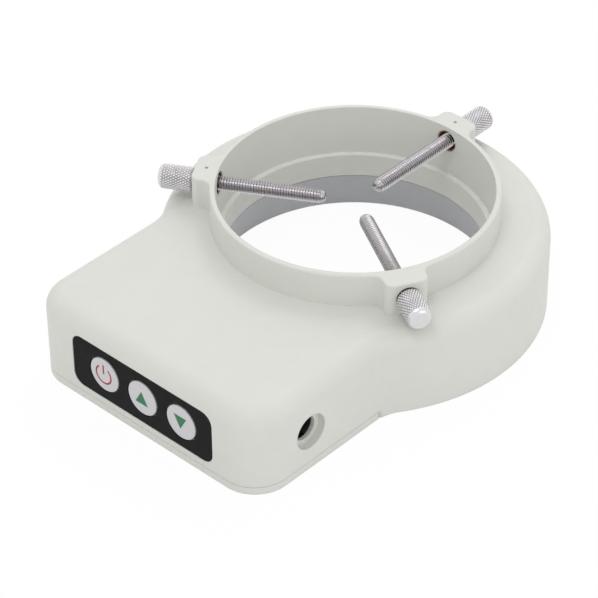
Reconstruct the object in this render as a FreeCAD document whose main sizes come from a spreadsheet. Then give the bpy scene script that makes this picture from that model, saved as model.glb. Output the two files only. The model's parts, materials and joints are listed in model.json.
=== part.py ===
import FreeCAD, Part
import os
import re
import Sketcher

# Ring-light illuminator for a stereo microscope. All lengths are in millimetres.
# The origin lies on the ring's axis, in the plane the ring stands on. +Z points up,
# and the dimmer box reaches out from the ring towards -Y.

SIZES = {
    # Ring, bore and collar
    "collar_bore_radius": 35.0,
    "collar_wall": 1.4,
    "bore_ledge_width": 1.45,
    "ring_shoulder": 12.65,
    "wall": 2.2,
    "housing_height": 23.7,
    "collar_height": 9.0,
    "ledge_drop": 2.85,
    "lamp_room_height": 12.2,
    "top_edge_radius": 4.6,
    "collar_rim_radius": 0.4,
    # Dimmer box
    "box_half_width": 38.05,
    "box_reach": 27.0,
    "box_corner_radius": 9.8,
    "box_blend_radius": 12.0,
    # Bosses round the collar
    "boss_count": 3,
    "boss_first_angle": 90.0,
    "boss_reach": 4.8,
    "boss_half_width": 5.45,
    "boss_corner_radius": 2.2,
    "boss_blend_radius": 2.6,
    "pin_hole_radius": 0.45,
    "pin_hole_setback": 3.0,
    "pin_hole_depth": 1.0,
    # Thumbscrews and their threaded inserts
    "screw_drop": 4.2,
    "stud_radius": 1.9,
    "stud_tip_share": 0.2143,
    "stud_tip_round": 1.5,
    "thread_clearance": 0.05,
    "insert_radius": 2.95,
    "insert_setback": 0.2,
    "insert_mouth": 0.7,
    "insert_mouth_depth": 1.8,
    "insert_clearance": 0.02,
    "head_radius": 3.2,
    "head_gap": 0.25,
    "head_length": 9.1,
    "head_end_round": 1.5,
    "head_edge_chamfer": 0.3,
    "head_socket_depth": 6.3,
    # Base cover
    "cover_flange": 2.1,
    "cover_pan": 0.7,
    "cover_seam": 0.06,
    "cover_fit": 0.2,
    "cover_notch_offset": 1.25,
    "cover_notch_gap": 0.4,
    "partition_lip": 1.4,
    # Posts and screws
    "cover_post_radius": 3.2,
    "cover_post_gap": 1.7,
    "pilot_radius": 1.15,
    "pilot_depth": 7.5,
    "screw_shank_radius": 1.1,
    "screw_shank_length": 6.5,
    "screw_head_radius": 2.4,
    "screw_head_height": 0.9,
    "screw_hole_radius": 1.5,
    "screw_recess_radius": 2.75,
    "screw_recess_depth": 1.0,
    "drive_slot_length": 2.6,
    "drive_slot_width": 0.6,
    "drive_slot_depth": 0.5,
    # Lamp carrier and what it holds
    "carrier_flare": 3.35,
    "carrier_bottom": 0.95,
    "carrier_seam": 0.12,
    "carrier_wall": 1.6,
    "carrier_web": 1.5,
    "carrier_lip": 0.8,
    "carrier_lip_height": 0.9,
    "carrier_fit": 0.3,
    "carrier_post_radius": 2.9,
    "board_thickness": 1.6,
    "lamp_board_margin": 0.3,
    "lamp_count": 39,
    "lamp_radius": 2.4,
    "lamp_flange_radius": 2.8,
    "lamp_flange": 0.9,
    "lamp_lens_gap": 1.13,
    "lamp_dome": 1.6,
    "spacer_thickness": 1.0,
    "spacer_drop": 2.0,
    "spacer_hole_gap": 0.2,
    "lens_thickness": 1.6,
    "lens_rebate": 0.8,
    "lens_fit": 0.2,
    # Front panel, buttons and key board
    "panel_offset": 0.3,
    "panel_side_margin": 10.55,
    "panel_bottom": 3.9,
    "panel_height": 15.1,
    "panel_corner_radius": 3.2,
    "panel_recess": 0.5,
    "overlay_thickness": 0.4,
    "overlay_fit": 0.12,
    "button_offset": 0.65,
    "button_spacing": 12.95,
    "button_height": 11.6,
    "button_radius": 4.8,
    "button_gap": 0.3,
    "button_proud": 0.05,
    "button_edge_round": 0.5,
    "button_flange_radius": 5.9,
    "button_flange": 0.8,
    "button_travel_gap": 0.3,
    "plunger_radius": 1.75,
    "plunger_length": 1.5,
    "plunger_engaged": 0.9,
    "plunger_bore_gap": 0.3,
    "plunger_bore_depth": 1.7,
    "switch_width": 6.0,
    "switch_depth": 3.5,
    "key_rib_gap": 0.5,
    "key_rib_width": 1.6,
    "key_board_bottom": 5.0,
    "key_board_height": 11.9,
    # Power inlet on the right side
    "inlet_setback": 18.65,
    "inlet_height": 11.1,
    "inlet_recess_radius": 4.77,
    "inlet_recess_depth": 2.0,
    "inlet_hole_radius": 3.3,
    "inlet_boss_radius": 6.3,
    "inlet_boss_depth": 0.9,
    "jack_length": 14.0,
    "jack_width": 9.0,
    "jack_axis_height": 5.2,
    "jack_crown": 4.5,
    "jack_bore_radius": 3.15,
    "jack_bore_depth": 9.0,
    "jack_pin_radius": 1.0,
    "jack_pin_setback": 1.0,
    "jack_pin_clearance": 0.02,
    "jack_slot_width": 2.4,
    "jack_slot_length": 7.0,
    "jack_slot_depth": 0.9,
    "jack_contact_thickness": 0.35,
    "jack_contact_margin": 0.2,
    # Control board and the row of components along its middle
    "control_board_setback": 13.45,
    "control_board_gap": 0.3,
    "control_board_left_gap": 2.0,
    "board_post_radius": 2.75,
    "row_gap": 0.6,
    "header_pins": 4,
    "header_spacing": 2.54,
    "header_block": 2.5,
    "header_setback": 0.3,
    "header_pin_width": 0.64,
    "chip_width": 3.9,
    "chip_length": 4.9,
    "chip_height": 1.5,
    "inductor_radius": 3.0,
    "inductor_height": 4.5,
    "inductor_waist": 2.3,
    "inductor_flange": 1.0,
    "capacitor_radius": 2.5,
    "capacitor_height": 7.7,
    "capacitor_edge": 0.4,
    # Lamp leads, clipped between their plug and the lamp board
    "lead_plug_width": 4.4,
    "lead_plug_length": 5.4,
    "lead_plug_height": 5.0,
    "lead_radius": 0.65,
    "lead_spread": 1.0,
    "lead_rise": 3.9,
    "lead_bend": 2.7,
    "lead_slot_gap": 0.6,
    "lead_hole_gap": 0.9,
    # One overrun serves all cuts that leave a solid
    "overrun": 1.0,
}

# Sizes that several pieces share, each worked out from the sizes above
SHARED = {
    "total_height": "(housing_height + collar_height)",
    "ceiling": "(housing_height - wall)",
    "screw_axis_height": "(total_height - screw_drop)",
    "bore_ledge_height": "(ceiling - ledge_drop)",
    "lower_bore_radius": "(collar_bore_radius - bore_ledge_width)",
    "collar_radius": "(collar_bore_radius + collar_wall)",
    "ring_radius": "(collar_radius + ring_shoulder)",
    "ring_inside": "(ring_radius - wall)",
    "boss_face_radius": "(collar_radius + boss_reach)",
    "box_front": "(ring_radius + box_reach)",
    "box_inside": "(box_half_width - wall)",
    "wall_back": "(box_front - wall)",
    "post_side": "(box_half_width - box_corner_radius)",
    "post_front": "(box_front - box_corner_radius)",
    "post_rear": "(inlet_place - jack_width / 2 - cover_post_gap - cover_post_radius)",
    "cover_top": "(cover_flange + cover_pan)",
    "notch_circle": "(ring_radius + cover_notch_offset)",
    "notch_edge": "(notch_circle + cover_notch_gap)",
    "partition_radius": "(notch_circle + partition_lip)",
    "carrier_top": "(lamp_room_height - carrier_seam)",
    "web_bottom": "(carrier_top - carrier_web)",
    "carrier_mouth_radius": "(lower_bore_radius + carrier_flare)",
    "carrier_edge": "(ring_inside - carrier_fit)",
    "lip_radius": "(carrier_mouth_radius + carrier_wall)",
    "lens_top": "(carrier_bottom + lens_thickness)",
    "lamp_circle": "((lip_radius + ring_inside) / 2)",
    "lamp_top": "(web_bottom - board_thickness)",
    "lamp_end": "(lens_top + lamp_lens_gap)",
    "head_start": "(boss_face_radius + head_gap)",
    "panel_half_width": "(button_spacing + panel_side_margin)",
    "panel_top": "(panel_bottom + panel_height)",
    "flange_front": "(wall_back - button_travel_gap)",
    "flange_back": "(flange_front - button_flange)",
    "switch_front": "(flange_back - plunger_length)",
    "key_board_face": "(switch_front - switch_depth)",
    "key_board_back": "(key_board_face - board_thickness)",
    "key_rib_side": "(button_spacing + button_flange_radius + key_rib_gap)",
    "inlet_place": "(box_front - inlet_setback)",
    "jack_face": "(box_half_width - wall - inlet_boss_depth)",
    "jack_end": "(jack_face - jack_length)",
    "board_top": "(inlet_height - jack_axis_height)",
    "control_board_front": "(box_front - control_board_setback)",
    "control_board_rear": "(partition_radius + control_board_gap)",
    "control_board_left": "(box_inside - control_board_left_gap)",
    "row_place": "((control_board_front + control_board_rear) / 2)",
    "header_front": "(control_board_front - header_setback)",
    "header_half": "(header_pins * header_spacing / 2)",
    "lead_side": "(header_half + row_gap + lead_plug_width / 2)",
    "chip_side": "(lead_side + (lead_plug_width + chip_width) / 2 + row_gap)",
    "capacitor_side": "(chip_side + chip_width / 2 + row_gap + capacitor_radius)",
    "left_post_side": "(control_board_left - board_post_radius - row_gap)",
    "right_post_side": "(jack_end - row_gap - board_post_radius)",
    "inductor_side": "(header_half + row_gap + inductor_radius)",
    "lead_run_height": "(carrier_top + lead_rise)",
    "lead_slot_half": "(lead_spread + lead_radius + lead_slot_gap)",
    "lead_hole_radius": "(lead_spread + lead_radius + lead_hole_gap)",
}

BUTTONS = ("power", "up", "down")
BOSSES = ("rear", "left", "front")
PIN_HOLES = 2

doc = FreeCAD.newDocument("ring_light_illuminator")
sheet = doc.addObject("Spreadsheet::Sheet", "sizes")
for row, (alias, number) in enumerate(SIZES.items(), start=1):
    sheet.set("A%d" % row, alias)
    sheet.set("B%d" % row, str(number))
    sheet.setAlias("B%d" % row, alias)
doc.recompute()


def link(text):
    """An expression on the sheet's cells, from one in plain size names."""
    def swap(match):
        word = match.group()
        if word in SHARED:
            return link(SHARED[word])
        if word in SIZES:
            return "sizes." + word
        return word
    return re.sub(r"[a-z][a-z_]*", swap, text)


def value(text):
    """The number that an expression in plain size names stands for."""
    result = sheet.evalExpression(link(text))
    return float(getattr(result, "Value", result))


def bind(item, path, text):
    item.setExpression(path, link(text))


# Sketches and features

def part_body(label):
    body = doc.addObject("PartDesign::Body", label)
    body.Label = label
    return body


def origin_item(body, role):
    for item in body.Origin.OriginFeatures:
        if item.Role == role:
            return item
    raise RuntimeError("no origin feature " + role)


def sketch_on(body, name, role="XY_Plane", offset="0"):
    """A sketch on one of the body's own planes, lifted along that plane's normal."""
    sketch = body.newObject("Sketcher::SketchObject", name)
    sketch.AttachmentSupport = (origin_item(body, role), [""])
    sketch.MapMode = "FlatFace"
    if offset != "0":
        bind(sketch, "AttachmentOffset.Base.z", offset)
    return sketch


def hold(sketch, kind, places, text):
    index = sketch.addConstraint(Sketcher.Constraint(kind, *places, value(text)))
    bind(sketch, "Constraints[%d]" % index, text)


def circle(sketch, across, along, radius):
    centre = FreeCAD.Vector(value(across), value(along), 0)
    number = sketch.addGeometry(Part.Circle(centre, FreeCAD.Vector(0, 0, 1), value(radius)))
    hold(sketch, "Radius", (number,), radius)
    hold(sketch, "DistanceX", (number, 3), across)
    hold(sketch, "DistanceY", (number, 3), along)


def outline(sketch, points):
    """A closed outline of straight sides through points given as pairs of expressions."""
    first = sketch.GeometryCount
    corners = [FreeCAD.Vector(value(across), value(along), 0) for across, along in points]
    count = len(points)
    for side in range(count):
        sketch.addGeometry(Part.LineSegment(corners[side], corners[(side + 1) % count]))
    for side in range(count):
        following = first + (side + 1) % count
        sketch.addConstraint(Sketcher.Constraint("Coincident", first + side, 2, following, 1))
    for side, (across, along) in enumerate(points):
        hold(sketch, "DistanceX", (first + side, 1), across)
        hold(sketch, "DistanceY", (first + side, 1), along)


def rectangle(sketch, left, low, right, high):
    outline(sketch, [(left, low), (right, low), (right, high), (left, high)])


def box_outline(sketch, half_width, front, rear_circle, corner):
    """The dimmer box with its two front corners rounded, closed by an arc round the ring's axis."""
    half = value(half_width)
    near = value(front)
    radius = value(rear_circle)
    turning = value(corner)
    meet = -((radius * radius - half * half) ** 0.5)
    crown = turning * 0.5 ** 0.5
    flank = "(%s - %s)" % (front, corner)
    inner = "(%s - %s)" % (half_width, corner)

    def point(across, along):
        return FreeCAD.Vector(across, along, 0)
    left_bend = Part.Arc(point(-half, turning - near),
                         point(turning - half - crown, turning - near - crown),
                         point(turning - half, -near))
    right_bend = Part.Arc(point(half - turning, -near),
                          point(half - turning + crown, turning - near - crown),
                          point(half, turning - near))
    left = sketch.addGeometry(Part.LineSegment(point(-half, meet), point(-half, turning - near)))
    left_corner = sketch.addGeometry(left_bend)
    straight = sketch.addGeometry(Part.LineSegment(point(turning - half, -near),
                                                   point(half - turning, -near)))
    right_corner = sketch.addGeometry(right_bend)
    right = sketch.addGeometry(Part.LineSegment(point(half, turning - near), point(half, meet)))
    rear = sketch.addGeometry(Part.Arc(point(-half, meet), point(0, -radius), point(half, meet)))
    for one, one_end, other, other_end in (
            (left, 2, left_corner, 1), (left_corner, 2, straight, 1), (straight, 2, right_corner, 1),
            (right_corner, 2, right, 1), (right, 2, rear, 2), (left, 1, rear, 1), (rear, 3, -1, 1)):
        sketch.addConstraint(Sketcher.Constraint("Coincident", one, one_end, other, other_end))
    hold(sketch, "Radius", (rear,), rear_circle)
    hold(sketch, "Radius", (left_corner,), corner)
    hold(sketch, "Radius", (right_corner,), corner)
    hold(sketch, "DistanceX", (left, 1), "-" + half_width)
    hold(sketch, "DistanceX", (left, 2), "-" + half_width)
    hold(sketch, "DistanceY", (left, 2), "-" + flank)
    hold(sketch, "DistanceX", (right, 1), half_width)
    hold(sketch, "DistanceX", (right, 2), half_width)
    hold(sketch, "DistanceY", (right, 1), "-" + flank)
    hold(sketch, "DistanceX", (straight, 1), "-" + inner)
    hold(sketch, "DistanceY", (straight, 1), "-" + front)
    hold(sketch, "DistanceX", (straight, 2), inner)
    hold(sketch, "DistanceY", (straight, 2), "-" + front)


def pad(body, sketch, length):
    feature = body.newObject("PartDesign::Pad", sketch.Name + "_pad")
    feature.Profile = sketch
    bind(feature, "Length", length)
    doc.recompute()
    return feature


def pocket(body, sketch, length, along_normal=False):
    """Cut against the sketch's normal, or along it, and make sure that something was cut."""
    before = body.Shape.Volume
    feature = body.newObject("PartDesign::Pocket", sketch.Name + "_pocket")
    feature.Profile = sketch
    feature.Reversed = along_normal
    bind(feature, "Length", length)
    doc.recompute()
    if not body.Shape.Volume < before:
        raise RuntimeError(sketch.Name + " cuts nothing")
    return feature


def turn(body, sketch, kind="PartDesign::Revolution", axis="V_Axis"):
    before = body.Shape.Volume if kind == "PartDesign::Groove" else 0
    feature = body.newObject(kind, sketch.Name + "_turn")
    feature.Profile = sketch
    feature.ReferenceAxis = (sketch, [axis])
    feature.Angle = 360
    doc.recompute()
    if kind == "PartDesign::Groove" and not body.Shape.Volume < before:
        raise RuntimeError(sketch.Name + " cuts nothing")
    return feature


def round_the_axis(body, feature, count):
    """Repeat a feature at equal angles round Z."""
    pattern = body.newObject("PartDesign::PolarPattern", feature.Name + "_pattern")
    pattern.Originals = [feature]
    pattern.Axis = (origin_item(body, "Z_Axis"), [""])
    pattern.Angle = 360
    bind(pattern, "Occurrences", count)
    body.Tip = pattern
    doc.recompute()
    return pattern


def dress(body, kind, path, size, wanted):
    """A fillet or chamfer on the edges of the body's tip that the test picks."""
    base = body.Tip
    names = ["Edge%d" % number for number, edge in enumerate(base.Shape.Edges, start=1) if wanted(edge)]
    if not names:
        raise RuntimeError("no edge to dress on " + body.Label)
    feature = body.newObject(kind, "%s_%s" % (base.Name, path.lower()))
    feature.Base = (base, names)
    bind(feature, path, size)
    doc.recompute()
    return feature


def fillet(body, radius, wanted):
    return dress(body, "PartDesign::Fillet", "Radius", radius, wanted)


def chamfer(body, size, wanted):
    return dress(body, "PartDesign::Chamfer", "Size", size, wanted)


NEAR = 1e-3


def upright_at(places):
    """Picks edges parallel to Z that stand at any of the given places."""
    spots = [(value(across), value(along)) for across, along in places]

    def test(edge):
        ends = [vertex.Point for vertex in edge.Vertexes]
        if len(ends) != 2 or (ends[0] - ends[1]).cross(FreeCAD.Vector(0, 0, 1)).Length > NEAR:
            return False
        return any(abs(ends[0].x - x) < NEAR and abs(ends[0].y - y) < NEAR for x, y in spots)
    return test


def level_at(height, at_least="0"):
    """Picks edges that lie flat at one height, from a distance from the axis outwards."""
    level = value(height)
    near = value(at_least)

    def test(edge):
        box = edge.BoundBox
        if abs(box.ZMin - level) > NEAR or abs(box.ZMax - level) > NEAR:
            return False
        reach = [vertex.Point.sub(FreeCAD.Vector(0, 0, level)).Length for vertex in edge.Vertexes]
        return all(distance >= near - NEAR for distance in reach)
    return test


def in_plane(axis, distance):
    """Picks edges that lie in the plane square to X or Y at a distance from the origin."""
    level = value(distance)

    def test(edge):
        box = edge.BoundBox
        low, high = (box.XMin, box.XMax) if axis == "x" else (box.YMin, box.YMax)
        return abs(low - level) < NEAR and abs(high - level) < NEAR
    return test


def along_y_at(places):
    """Picks edges parallel to Y that run through any of the given places in X and Z."""
    spots = [(value(across), value(up)) for across, up in places]

    def test(edge):
        ends = [vertex.Point for vertex in edge.Vertexes]
        if len(ends) != 2 or (ends[0] - ends[1]).cross(FreeCAD.Vector(0, 1, 0)).Length > NEAR:
            return False
        return any(abs(ends[0].x - x) < NEAR and abs(ends[0].z - z) < NEAR for x, z in spots)
    return test


def block(name, corner, size):
    """A plain box from its lowest corner and its three sides."""
    item = doc.addObject("Part::Box", name)
    for path, text in zip(("Length", "Width", "Height"), size):
        bind(item, path, text)
    for path, text in zip("xyz", corner):
        bind(item, "Placement.Base." + path, text)
    return item


def rod(name, start, radius, length, direction=None):
    """A plain cylinder from the middle of its first face, along Z or another direction."""
    item = doc.addObject("Part::Cylinder", name)
    if direction:
        item.Placement.Rotation = FreeCAD.Rotation(FreeCAD.Vector(0, 0, 1), FreeCAD.Vector(*direction))
    bind(item, "Radius", radius)
    bind(item, "Height", length)
    for path, text in zip("xyz", start):
        bind(item, "Placement.Base." + path, text)
    return item


def boss_angle(number):
    return "(boss_first_angle + 360 / boss_count * %d)" % number


def at_angle(radius, angle):
    return "%s * cos(%s)" % (radius, angle), "%s * sin(%s)" % (radius, angle)


def button_side(number):
    return "(button_offset + button_spacing * %d)" % (number - 1)


COVER_POSTS = [(side + "post_side", place)
               for place in ("-post_front", "-post_rear") for side in ("", "-")]
BOARD_POSTS = [("-left_post_side", "-row_place"), ("right_post_side", "-row_place")]
PANEL_SIDES = ("panel_offset - panel_half_width", "panel_offset + panel_half_width")


# Housing: ring, box, collar and bosses in one moulding

def housing_outside(body):
    ring = sketch_on(body, "ring_plan")
    circle(ring, "0", "0", "ring_radius")
    pad(body, ring, "housing_height")
    box = sketch_on(body, "box_plan")
    rectangle(box, "-box_half_width", "-box_front", "box_half_width", "0")
    pad(body, box, "housing_height")
    fillet(body, "box_corner_radius",
           upright_at([("box_half_width", "-box_front"), ("-box_half_width", "-box_front")]))
    meet = "-sqrt(ring_radius ^ 2 - box_half_width ^ 2)"
    fillet(body, "box_blend_radius",
           upright_at([("box_half_width", meet), ("-box_half_width", meet)]))
    fillet(body, "top_edge_radius", level_at("housing_height"))
    collar = sketch_on(body, "collar_plan", offset="ceiling")
    circle(collar, "0", "0", "collar_radius")
    pad(body, collar, "total_height - ceiling")
    boss = sketch_on(body, "boss_plan", offset="ceiling")
    rectangle(boss, "-boss_half_width", "0", "boss_half_width", "boss_face_radius")
    round_the_axis(body, pad(body, boss, "total_height - ceiling"), "boss_count")
    corners = []
    roots = []
    root_depth = "sqrt(collar_radius ^ 2 - boss_half_width ^ 2)"
    for number in range(int(value("boss_count"))):
        angle = boss_angle(number)
        for side in ("+", "-"):
            for places, depth in ((corners, "boss_face_radius"), (roots, root_depth)):
                across = "%s * cos(%s) %s boss_half_width * sin(%s)" % (depth, angle, side, angle)
                opposite = "-" if side == "+" else "+"
                along = "%s * sin(%s) %s boss_half_width * cos(%s)" % (depth, angle, opposite, angle)
                places.append((across, along))
    fillet(body, "boss_corner_radius", upright_at(corners))
    fillet(body, "boss_blend_radius", upright_at(roots))
    fillet(body, "collar_rim_radius", level_at("total_height", "collar_radius - wall"))


def housing_inside(body):
    bore = sketch_on(body, "bore_profile", "XZ_Plane")
    outline(bore, [("0", "-overrun"), ("lower_bore_radius", "-overrun"),
                   ("lower_bore_radius", "bore_ledge_height"),
                   ("collar_bore_radius", "bore_ledge_height"),
                   ("collar_bore_radius", "total_height + overrun"),
                   ("0", "total_height + overrun")])
    turn(body, bore, "PartDesign::Groove")
    lamp_room = sketch_on(body, "lamp_room_profile", "XZ_Plane")
    outline(lamp_room, [("0", "-overrun"), ("ring_inside + lens_rebate", "-overrun"),
                        ("ring_inside + lens_rebate", "lens_top"), ("ring_inside", "lens_top"),
                        ("ring_inside", "ceiling"), ("collar_radius", "ceiling"),
                        ("collar_radius", "lamp_room_height"), ("0", "lamp_room_height")])
    turn(body, lamp_room, "PartDesign::Groove")
    box_room = sketch_on(body, "box_room_plan")
    box_outline(box_room, "box_inside", "wall_back", "partition_radius", "(box_corner_radius - wall)")
    pocket(body, box_room, "ceiling", along_normal=True)
    cover_seat = sketch_on(body, "cover_seat_plan")
    box_outline(cover_seat, "(box_half_width + overrun)", "(box_front + overrun)", "notch_circle",
                "box_corner_radius")
    pocket(body, cover_seat, "cover_flange + cover_seam", along_normal=True)


def posts(body, name, places, end, radius):
    """Round posts that hang from the housing's ceiling, each with a pilot hole."""
    plan = sketch_on(body, name + "_plan", offset=end)
    for across, along in places:
        circle(plan, across, along, radius)
    pad(body, plan, "housing_height - wall / 2 - %s" % end)
    holes = sketch_on(body, name + "_pilot_plan", offset=end)
    for across, along in places:
        circle(holes, across, along, "pilot_radius")
    pocket(body, holes, "pilot_depth", along_normal=True)


def housing_posts(body):
    posts(body, "cover_post", COVER_POSTS, "cover_top", "cover_post_radius")
    posts(body, "board_post", BOARD_POSTS, "board_top", "board_post_radius")
    rings = [at_angle("lamp_circle", boss_angle(number)) for number in range(int(value("boss_count")))]
    posts(body, "carrier_post", rings, "carrier_top", "carrier_post_radius")
    ribs = sketch_on(body, "key_rib_plan", "XZ_Plane", "key_board_face")
    for inner, outer in (("(button_offset - key_rib_side)", "(button_offset - key_rib_side - key_rib_width)"),
                         ("(button_offset + key_rib_side)", "(button_offset + key_rib_side + key_rib_width)")):
        rectangle(ribs, inner, "key_board_bottom", outer, "key_board_bottom + key_board_height")
    pad(body, ribs, "wall_back - key_board_face + wall / 2")


def housing_openings(body):
    panel = sketch_on(body, "panel_plan", "XZ_Plane", "box_front")
    left, right = PANEL_SIDES
    rectangle(panel, left, "panel_bottom", right, "panel_top")
    pocket(body, panel, "panel_recess")
    corners = [(side, up) for side in PANEL_SIDES for up in ("panel_bottom", "panel_top")]
    fillet(body, "panel_corner_radius", along_y_at(corners))
    buttons = sketch_on(body, "button_plan", "XZ_Plane", "box_front")
    for number in range(len(BUTTONS)):
        circle(buttons, button_side(number), "button_height", "button_radius + button_gap")
    pocket(body, buttons, "wall + overrun")
    inlet_boss = sketch_on(body, "inlet_boss_plan", "YZ_Plane", "jack_face")
    circle(inlet_boss, "-inlet_place", "inlet_height", "inlet_boss_radius")
    pad(body, inlet_boss, "inlet_boss_depth + wall / 2")
    recess = sketch_on(body, "inlet_recess_plan", "YZ_Plane", "box_half_width")
    circle(recess, "-inlet_place", "inlet_height", "inlet_recess_radius")
    pocket(body, recess, "inlet_recess_depth")
    hole = sketch_on(body, "inlet_hole_plan", "YZ_Plane", "box_half_width")
    circle(hole, "-inlet_place", "inlet_height", "inlet_hole_radius")
    pocket(body, hole, "wall + inlet_boss_depth + overrun")
    insert = sketch_on(body, "insert_plan", "XZ_Plane", "-(boss_face_radius + overrun)")
    circle(insert, "0", "screw_axis_height", "insert_radius + insert_clearance")
    length = "boss_face_radius - lower_bore_radius + overrun"
    round_the_axis(body, pocket(body, insert, length, along_normal=True), "boss_count")
    pins = sketch_on(body, "pin_hole_plan", offset="total_height")
    for number in range(PIN_HOLES):
        across, along = at_angle("(boss_face_radius - pin_hole_setback)", boss_angle(number))
        circle(pins, across, along, "pin_hole_radius")
    pocket(body, pins, "pin_hole_depth")
    slot = sketch_on(body, "lead_slot_plan", "XZ_Plane", "partition_radius + overrun")
    rectangle(slot, "-lead_side - lead_slot_half", "lead_run_height - lead_slot_half",
              "-lead_side + lead_slot_half", "lead_run_height + lead_slot_half")
    pocket(body, slot, "partition_radius - ring_inside + 3 * overrun")


def make_housing():
    body = part_body("housing")
    housing_outside(body)
    housing_inside(body)
    housing_posts(body)
    housing_openings(body)
    return body


# Base cover with its screws

def make_base_cover():
    body = part_body("base_cover")
    flange = sketch_on(body, "cover_flange_plan")
    box_outline(flange, "box_half_width", "box_front", "notch_edge", "box_corner_radius")
    pad(body, flange, "cover_flange")
    pan = sketch_on(body, "cover_pan_plan", offset="cover_flange")
    box_outline(pan, "(box_inside - cover_fit)", "(wall_back - cover_fit)", "(partition_radius + cover_fit)",
                "(box_corner_radius - wall - cover_fit)")
    pad(body, pan, "cover_pan")
    holes = sketch_on(body, "cover_hole_plan")
    recesses = sketch_on(body, "cover_recess_plan")
    for across, along in COVER_POSTS:
        circle(holes, across, along, "screw_hole_radius")
        circle(recesses, across, along, "screw_recess_radius")
    pocket(body, holes, "cover_top + overrun", along_normal=True)
    pocket(body, recesses, "screw_recess_depth", along_normal=True)
    return body


def screw_group(label, places, head_face):
    """Cross-recessed screws in one node, their heads downwards and their shanks above one face."""
    body = part_body(label)
    heads = sketch_on(body, label + "_head_plan", offset="%s - screw_head_height" % head_face)
    shanks = sketch_on(body, label + "_shank_plan", offset=head_face)
    slots = sketch_on(body, label + "_slot_plan", offset="%s - screw_head_height" % head_face)
    for across, along in places:
        circle(heads, across, along, "screw_head_radius")
        circle(shanks, across, along, "screw_shank_radius")
        arm = "drive_slot_length / 2"
        half = "drive_slot_width / 2"
        plus = [("-" + half, "-" + arm), (half, "-" + arm), (half, "-" + half), (arm, "-" + half),
                (arm, half), (half, half), (half, arm), ("-" + half, arm), ("-" + half, half),
                ("-" + arm, half), ("-" + arm, "-" + half), ("-" + half, "-" + half)]
        outline(slots, [("%s + (%s)" % (across, x), "%s + (%s)" % (along, y)) for x, y in plus])
    pad(body, heads, "screw_head_height")
    pad(body, shanks, "screw_shank_length")
    pocket(body, slots, "drive_slot_depth", along_normal=True)
    return body


# Lamp carrier, lamp board, lamps, spacer and lens

def carrier_cone(height):
    """The radius of the carrier's sloping inner face at a height."""
    slope = "(carrier_mouth_radius - lower_bore_radius) / (carrier_top - carrier_bottom)"
    return "(carrier_mouth_radius - %s * (%s - carrier_bottom))" % (slope, height)


def carrier_holes(body, name, radius, lead_hole=None):
    """Screw holes in line with the carrier's posts, and a hole for the lamp leads."""
    plan = sketch_on(body, name)
    for number in range(int(value("boss_count"))):
        across, along = at_angle("lamp_circle", boss_angle(number))
        circle(plan, across, along, radius)
    if lead_hole:
        circle(plan, "-lead_side", "-lamp_circle", lead_hole)
    pocket(body, plan, "housing_height", along_normal=True)


def make_lamp_carrier():
    body = part_body("lamp_carrier")
    profile = sketch_on(body, "carrier_profile", "XZ_Plane")
    shoulder = "(lens_top + carrier_lip_height)"
    outline(profile, [("lower_bore_radius", "carrier_top"),
                      ("carrier_mouth_radius", "carrier_bottom"),
                      ("lip_radius", "carrier_bottom"), ("lip_radius", "lens_top"),
                      ("lip_radius + carrier_lip", "lens_top"),
                      ("lip_radius + carrier_lip", shoulder),
                      (carrier_cone(shoulder) + " + carrier_wall", shoulder),
                      (carrier_cone("web_bottom") + " + carrier_wall", "web_bottom"),
                      ("carrier_edge", "web_bottom"), ("carrier_edge", "carrier_top")])
    turn(body, profile)
    carrier_holes(body, "carrier_hole_plan", "screw_hole_radius", "lead_hole_radius")
    return body


def make_lamp_board():
    body = part_body("lamp_board")
    plan = sketch_on(body, "lamp_board_plan", offset="lamp_top")
    circle(plan, "0", "0", "carrier_edge - lamp_board_margin")
    circle(plan, "0", "0", "lip_radius")
    pad(body, plan, "board_thickness")
    carrier_holes(body, "lamp_board_hole_plan", "screw_hole_radius")
    return body


def lamp_spots():
    """Places round the lamp circle, leaving out the ones where the carrier's screws stand."""
    count = int(value("lamp_count"))
    share = count // int(value("boss_count"))
    for number in range(count):
        if number % share:
            yield at_angle("lamp_circle", "(boss_first_angle + 360 / lamp_count * %d)" % number)


def make_lamps():
    body = part_body("led_lamps")
    flanges = sketch_on(body, "lamp_flange_plan", offset="lamp_top - lamp_flange")
    bodies = sketch_on(body, "lamp_body_plan", offset="lamp_end")
    for across, along in lamp_spots():
        circle(flanges, across, along, "lamp_flange_radius")
        circle(bodies, across, along, "lamp_radius")
    pad(body, flanges, "lamp_flange")
    pad(body, bodies, "lamp_top - lamp_flange - lamp_end")
    fillet(body, "lamp_dome", level_at("lamp_end"))
    return body


def make_lamp_spacer():
    body = part_body("lamp_spacer")
    plan = sketch_on(body, "spacer_plan", offset="lamp_top - spacer_drop - spacer_thickness")
    circle(plan, "0", "0", "carrier_edge")
    circle(plan, "0", "0", "lip_radius - lens_fit")
    for across, along in lamp_spots():
        circle(plan, across, along, "lamp_radius + spacer_hole_gap")
    pad(body, plan, "spacer_thickness")
    carrier_holes(body, "spacer_hole_plan", "screw_recess_radius")
    return body


def make_ring_lens():
    body = part_body("ring_lens")
    plan = sketch_on(body, "lens_plan", offset="carrier_bottom")
    circle(plan, "0", "0", "ring_inside + lens_rebate - lens_fit")
    circle(plan, "0", "0", "lip_radius + lens_fit")
    pad(body, plan, "lens_thickness")
    return body


# Thumbscrews and inserts, each drawn along +Y and then swung to its boss

def swing_to_boss(body, number):
    body.Placement = FreeCAD.Placement(FreeCAD.Vector(), FreeCAD.Rotation(FreeCAD.Vector(0, 0, 1), 0))
    bind(body, "Placement.Rotation.Angle", "360 / boss_count * %d" % number)
    bind(body, "Placement.Base.z", "screw_axis_height")


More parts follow.
